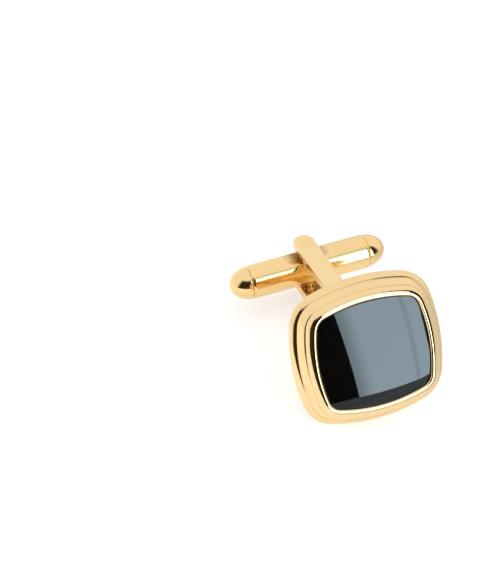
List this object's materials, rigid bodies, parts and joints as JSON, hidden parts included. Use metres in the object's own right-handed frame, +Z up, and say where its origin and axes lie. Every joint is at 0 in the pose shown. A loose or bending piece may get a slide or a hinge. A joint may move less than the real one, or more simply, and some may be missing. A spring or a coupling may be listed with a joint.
{
  "type": "cufflink",
  "caption": "Swivel bullet-back cufflink: a low onyx cushion in a stepped gilt frame, on a leaning forked arm whose torpedo toggle turns on a cross pin.",
  "frame": {"origin": "middle of the bounding box, on the table that the link lies on", "axes": "+X along the toggle, the head's face looks towards -Y and a little up, the arm runs towards +Y, +Z up"},
  "size_m": [0.0192, 0.0258, 0.0149],
  "materials": {
    "gilt_frame": "polished pale gilt",
    "gilt_rim": "polished pale gilt",
    "gilt_back": "polished gilt, a little duller",
    "gilt_arm": "polished pale gilt",
    "gilt_pin": "filed flush and gilt",
    "gilt_toggle": "polished pale gilt",
    "onyx": "polished black",
    "cement": "set cement",
    "spring_steel": "blank spring steel"
  },
  "bodies": {
    "head": {"bezel_frame": "gilt_frame", "stone_cup": "gilt_rim", "onyx_stone": "onyx", "cement_bed": "cement", "back_plate": "gilt_back", "arm_foot": "gilt_back", "fork_arm": "gilt_arm", "pivot_pin": "gilt_pin"},
    "toggle": {"toggle_barrel": "gilt_toggle", "toggle_cap_left": "gilt_toggle", "toggle_cap_right": "gilt_toggle", "detent_spring_front": "spring_steel", "detent_spring_rear": "spring_steel"}
  },
  "joints": [
    {"name": "toggle_swivel", "type": "hinge", "parent": "head", "child": "toggle", "pos_m": [0, 0.01043, 0.00365], "axis": [0, 0.1897, 0.9818], "range_deg": [-90, 90], "deforming": ["detent_spring_front", "detent_spring_rear"]}
  ]
}
